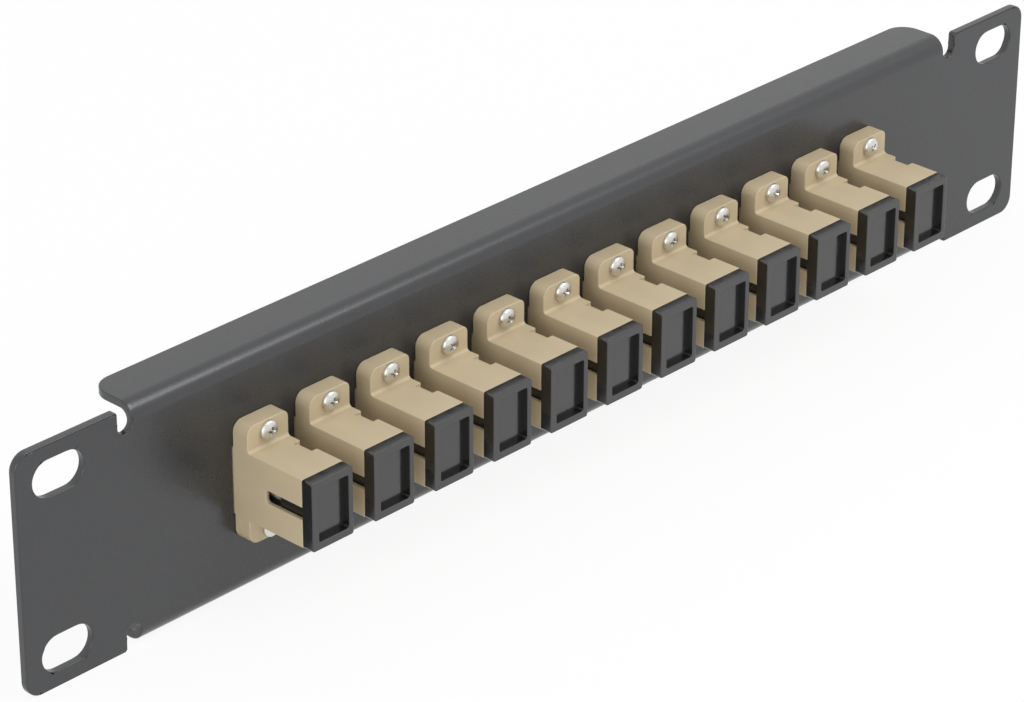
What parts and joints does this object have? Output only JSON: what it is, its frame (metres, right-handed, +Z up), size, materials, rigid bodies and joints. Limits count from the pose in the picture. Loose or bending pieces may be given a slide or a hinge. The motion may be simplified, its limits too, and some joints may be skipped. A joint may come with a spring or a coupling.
{
  "type": "fibre patch panel",
  "caption": "Ten-inch rack fibre patch panel: a folded steel sheet with slotted ears and a row of square push-pull adapters with pull-out dust caps front and rear.",
  "frame": {"origin": "centre of the four rack slots, on the rear face of the sheet, which meets the rack rails", "axes": "+X along the panel to the right seen from the front, +Z up, the front faces -Y"},
  "size_m": [0.254, 0.0335, 0.044],
  "materials": {
    "sheet_paint": "satin dark grey powder coat on steel sheet",
    "adapter_plastic": "moulded beige plastic, matt",
    "insert_plastic": "moulded natural white plastic, matt",
    "sleeve_bronze": "bright phosphor bronze",
    "cap_plastic": "moulded black plastic, matt",
    "screw_steel": "bright nickel plate"
  },
  "bodies": {
    "panel_and_adapters": {"panel": "sheet_paint", "mounting_screws": "screw_steel", "mounting_nuts": "screw_steel", "front_latch_inserts": "insert_plastic", "rear_latch_inserts": "insert_plastic", "adapter_housing_01": "adapter_plastic", "alignment_sleeve_01": "sleeve_bronze", "adapter_housing_02": "adapter_plastic", "alignment_sleeve_02": "sleeve_bronze", "adapter_housing_03": "adapter_plastic", "alignment_sleeve_03": "sleeve_bronze", "adapter_housing_04": "adapter_plastic", "alignment_sleeve_04": "sleeve_bronze", "adapter_housing_05": "adapter_plastic", "alignment_sleeve_05": "sleeve_bronze", "adapter_housing_06": "adapter_plastic", "alignment_sleeve_06": "sleeve_bronze", "adapter_housing_07": "adapter_plastic", "alignment_sleeve_07": "sleeve_bronze", "adapter_housing_08": "adapter_plastic", "alignment_sleeve_08": "sleeve_bronze", "adapter_housing_09": "adapter_plastic", "alignment_sleeve_09": "sleeve_bronze", "adapter_housing_10": "adapter_plastic", "alignment_sleeve_10": "sleeve_bronze", "adapter_housing_11": "adapter_plastic", "alignment_sleeve_11": "sleeve_bronze", "adapter_housing_12": "adapter_plastic", "alignment_sleeve_12": "sleeve_bronze"},
    "front_cap_01": {"front_dust_cap_01": "cap_plastic"},
    "front_cap_02": {"front_dust_cap_02": "cap_plastic"},
    "front_cap_03": {"front_dust_cap_03": "cap_plastic"},
    "front_cap_04": {"front_dust_cap_04": "cap_plastic"},
    "front_cap_05": {"front_dust_cap_05": "cap_plastic"},
    "front_cap_06": {"front_dust_cap_06": "cap_plastic"},
    "front_cap_07": {"front_dust_cap_07": "cap_plastic"},
    "front_cap_08": {"front_dust_cap_08": "cap_plastic"},
    "front_cap_09": {"front_dust_cap_09": "cap_plastic"},
    "front_cap_10": {"front_dust_cap_10": "cap_plastic"},
    "front_cap_11": {"front_dust_cap_11": "cap_plastic"},
    "front_cap_12": {"front_dust_cap_12": "cap_plastic"},
    "rear_cap_01": {"rear_dust_cap_01": "cap_plastic"},
    "rear_cap_02": {"rear_dust_cap_02": "cap_plastic"},
    "rear_cap_03": {"rear_dust_cap_03": "cap_plastic"},
    "rear_cap_04": {"rear_dust_cap_04": "cap_plastic"},
    "rear_cap_05": {"rear_dust_cap_05": "cap_plastic"},
    "rear_cap_06": {"rear_dust_cap_06": "cap_plastic"},
    "rear_cap_07": {"rear_dust_cap_07": "cap_plastic"},
    "rear_cap_08": {"rear_dust_cap_08": "cap_plastic"},
    "rear_cap_09": {"rear_dust_cap_09": "cap_plastic"},
    "rear_cap_10": {"rear_dust_cap_10": "cap_plastic"},
    "rear_cap_11": {"rear_dust_cap_11": "cap_plastic"},
    "rear_cap_12": {"rear_dust_cap_12": "cap_plastic"}
  },
  "joints": [
    {"name": "front_cap_01_pull", "type": "slide", "parent": "panel_and_adapters", "child": "front_cap_01", "axis": [0, -1, 0], "range_m": [0, 0.012]},
    {"name": "front_cap_02_pull", "type": "slide", "parent": "panel_and_adapters", "child": "front_cap_02", "axis": [0, -1, 0], "range_m": [0, 0.012]},
    {"name": "front_cap_03_pull", "type": "slide", "parent": "panel_and_adapters", "child": "front_cap_03", "axis": [0, -1, 0], "range_m": [0, 0.012]},
    {"name": "front_cap_04_pull", "type": "slide", "parent": "panel_and_adapters", "child": "front_cap_04", "axis": [0, -1, 0], "range_m": [0, 0.012]},
    {"name": "front_cap_05_pull", "type": "slide", "parent": "panel_and_adapters", "child": "front_cap_05", "axis": [0, -1, 0], "range_m": [0, 0.012]},
    {"name": "front_cap_06_pull", "type": "slide", "parent": "panel_and_adapters", "child": "front_cap_06", "axis": [0, -1, 0], "range_m": [0, 0.012]},
    {"name": "front_cap_07_pull", "type": "slide", "parent": "panel_and_adapters", "child": "front_cap_07", "axis": [0, -1, 0], "range_m": [0, 0.012]},
    {"name": "front_cap_08_pull", "type": "slide", "parent": "panel_and_adapters", "child": "front_cap_08", "axis": [0, -1, 0], "range_m": [0, 0.012]},
    {"name": "front_cap_09_pull", "type": "slide", "parent": "panel_and_adapters", "child": "front_cap_09", "axis": [0, -1, 0], "range_m": [0, 0.012]},
    {"name": "front_cap_10_pull", "type": "slide", "parent": "panel_and_adapters", "child": "front_cap_10", "axis": [0, -1, 0], "range_m": [0, 0.012]},
    {"name": "front_cap_11_pull", "type": "slide", "parent": "panel_and_adapters", "child": "front_cap_11", "axis": [0, -1, 0], "range_m": [0, 0.012]},
    {"name": "front_cap_12_pull", "type": "slide", "parent": "panel_and_adapters", "child": "front_cap_12", "axis": [0, -1, 0], "range_m": [0, 0.012]},
    {"name": "rear_cap_01_pull", "type": "slide", "parent": "panel_and_adapters", "child": "rear_cap_01", "axis": [0, 1, 0], "range_m": [0, 0.012]},
    {"name": "rear_cap_02_pull", "type": "slide", "parent": "panel_and_adapters", "child": "rear_cap_02", "axis": [0, 1, 0], "range_m": [0, 0.012]},
    {"name": "rear_cap_03_pull", "type": "slide", "parent": "panel_and_adapters", "child": "rear_cap_03", "axis": [0, 1, 0], "range_m": [0, 0.012]},
    {"name": "rear_cap_04_pull", "type": "slide", "parent": "panel_and_adapters", "child": "rear_cap_04", "axis": [0, 1, 0], "range_m": [0, 0.012]},
    {"name": "rear_cap_05_pull", "type": "slide", "parent": "panel_and_adapters", "child": "rear_cap_05", "axis": [0, 1, 0], "range_m": [0, 0.012]},
    {"name": "rear_cap_06_pull", "type": "slide", "parent": "panel_and_adapters", "child": "rear_cap_06", "axis": [0, 1, 0], "range_m": [0, 0.012]},
    {"name": "rear_cap_07_pull", "type": "slide", "parent": "panel_and_adapters", "child": "rear_cap_07", "axis": [0, 1, 0], "range_m": [0, 0.012]},
    {"name": "rear_cap_08_pull", "type": "slide", "parent": "panel_and_adapters", "child": "rear_cap_08", "axis": [0, 1, 0], "range_m": [0, 0.012]},
    {"name": "rear_cap_09_pull", "type": "slide", "parent": "panel_and_adapters", "child": "rear_cap_09", "axis": [0, 1, 0], "range_m": [0, 0.012]},
    {"name": "rear_cap_10_pull", "type": "slide", "parent": "panel_and_adapters", "child": "rear_cap_10", "axis": [0, 1, 0], "range_m": [0, 0.012]},
    {"name": "rear_cap_11_pull", "type": "slide", "parent": "panel_and_adapters", "child": "rear_cap_11", "axis": [0, 1, 0], "range_m": [0, 0.012]},
    {"name": "rear_cap_12_pull", "type": "slide", "parent": "panel_and_adapters", "child": "rear_cap_12", "axis": [0, 1, 0], "range_m": [0, 0.012]}
  ]
}
